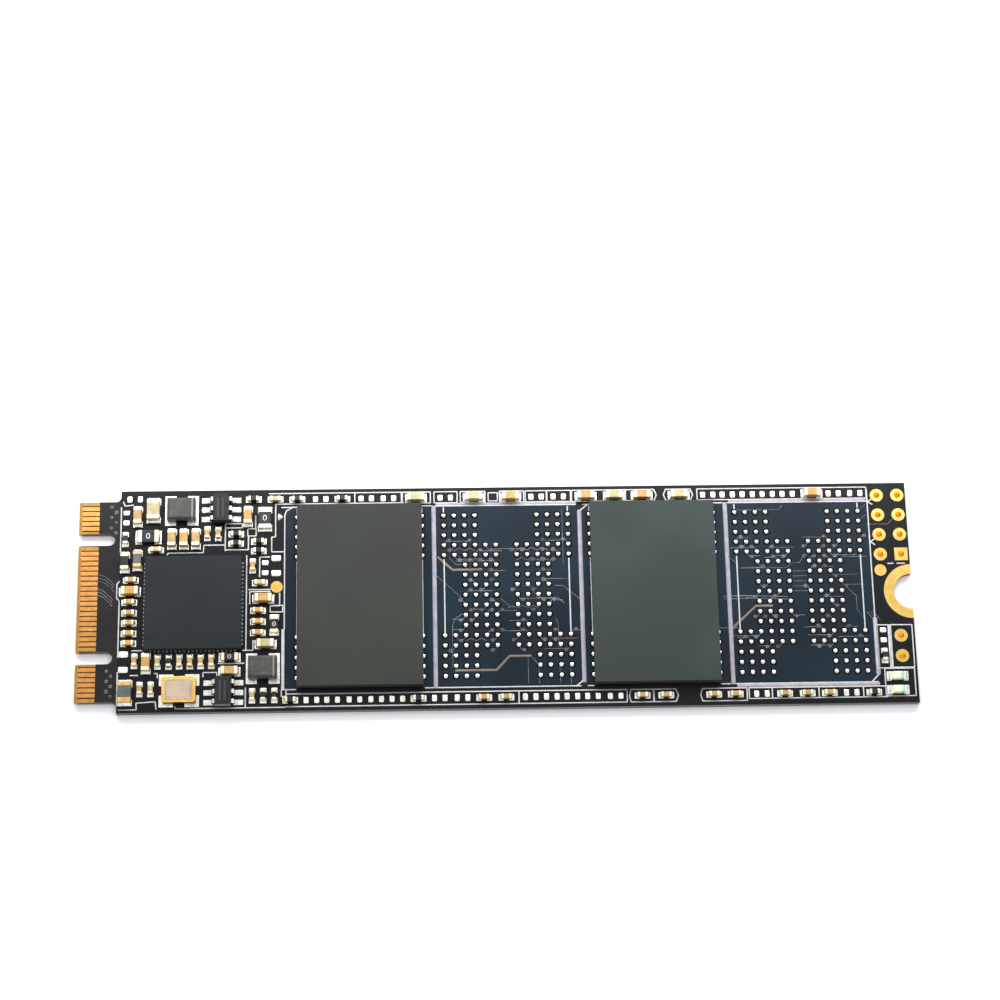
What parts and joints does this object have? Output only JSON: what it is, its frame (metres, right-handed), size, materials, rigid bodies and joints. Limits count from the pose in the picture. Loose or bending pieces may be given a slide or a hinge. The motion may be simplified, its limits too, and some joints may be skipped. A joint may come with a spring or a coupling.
{
  "type": "gumstick solid state drive",
  "caption": "Slim keyed circuit board with a card-edge connector, a controller, flash memory packages, bare memory sites and a half-round screw notch.",
  "frame": {"origin": "middle of the underside of the board, below the centre of its outline", "axes": "+X from the contact edge to the screw notch, +Y across the board, +Z out of the side with the parts"},
  "size_m": [0.08, 0.022, 0.0019],
  "materials": {
    "board_mask": "black solder mask over laminate, satin",
    "contact_gold": "gold plating, lightly worn",
    "pad_gold": "gold plating",
    "tinned_pad": "bright tinned copper",
    "solder": "reflowed solder",
    "controller_mould": "moulded epoxy, fine matt",
    "flash_mould": "moulded epoxy, fine matt",
    "tinned_lead": "matt tin on copper",
    "crystal_ceramic": "dark fired ceramic",
    "crystal_gold": "gold plated ring",
    "crystal_lid": "warm nickel alloy, fine brushed",
    "coil_mould": "pressed iron powder, satin",
    "regulator_mould": "moulded epoxy",
    "bead_ceramic": "fired ferrite",
    "gilt_end": "gilt metal ends",
    "lamp_base": "pale laminate",
    "lamp_lens": "clear cast lens over a pale yellow fill",
    "ceramic_tan": "fired ceramic, tan",
    "ceramic_orange": "fired ceramic, warm orange",
    "ceramic_pale": "fired ceramic, pale",
    "tinned_end": "tinned ends",
    "resistor_coat": "black glaze"
  },
  "bodies": {
    "root": {"circuit_board": "board_mask", "edge_contacts_top": "contact_gold", "edge_contacts_bottom": "contact_gold", "screw_notch_ring": "pad_gold", "header_plated_holes": "pad_gold", "jumper_plated_holes": "pad_gold", "gold_dots": "pad_gold", "bare_pads": "tinned_pad", "solder_joints": "solder", "controller_body": "controller_mould", "controller_leads": "tinned_lead", "flash_chip_inner": "flash_mould", "flash_chip_outer": "flash_mould", "flash_balls_inner": "solder", "flash_balls_outer": "solder", "spare_bumps": "solder", "bare_site_bumps_inner": "solder", "bare_site_bumps_outer": "solder", "crystal_base": "crystal_ceramic", "crystal_rim": "crystal_gold", "crystal_lid": "crystal_lid", "coil_bodies": "coil_mould", "coil_terminals": "tinned_lead", "regulator_bodies": "regulator_mould", "regulator_leads": "tinned_lead", "bead_bodies": "bead_ceramic", "bead_ends": "gilt_end", "led_bases": "lamp_base", "led_lenses": "lamp_lens", "led_ends": "gilt_end", "capacitor_bodies_tan": "ceramic_tan", "capacitor_bodies_orange": "ceramic_orange", "capacitor_bodies_pale": "ceramic_pale", "capacitor_ends": "tinned_end", "resistor_bodies": "resistor_coat", "resistor_ends": "tinned_end", "link_bodies": "resistor_coat", "link_ends": "tinned_end"}
  },
  "joints": []
}
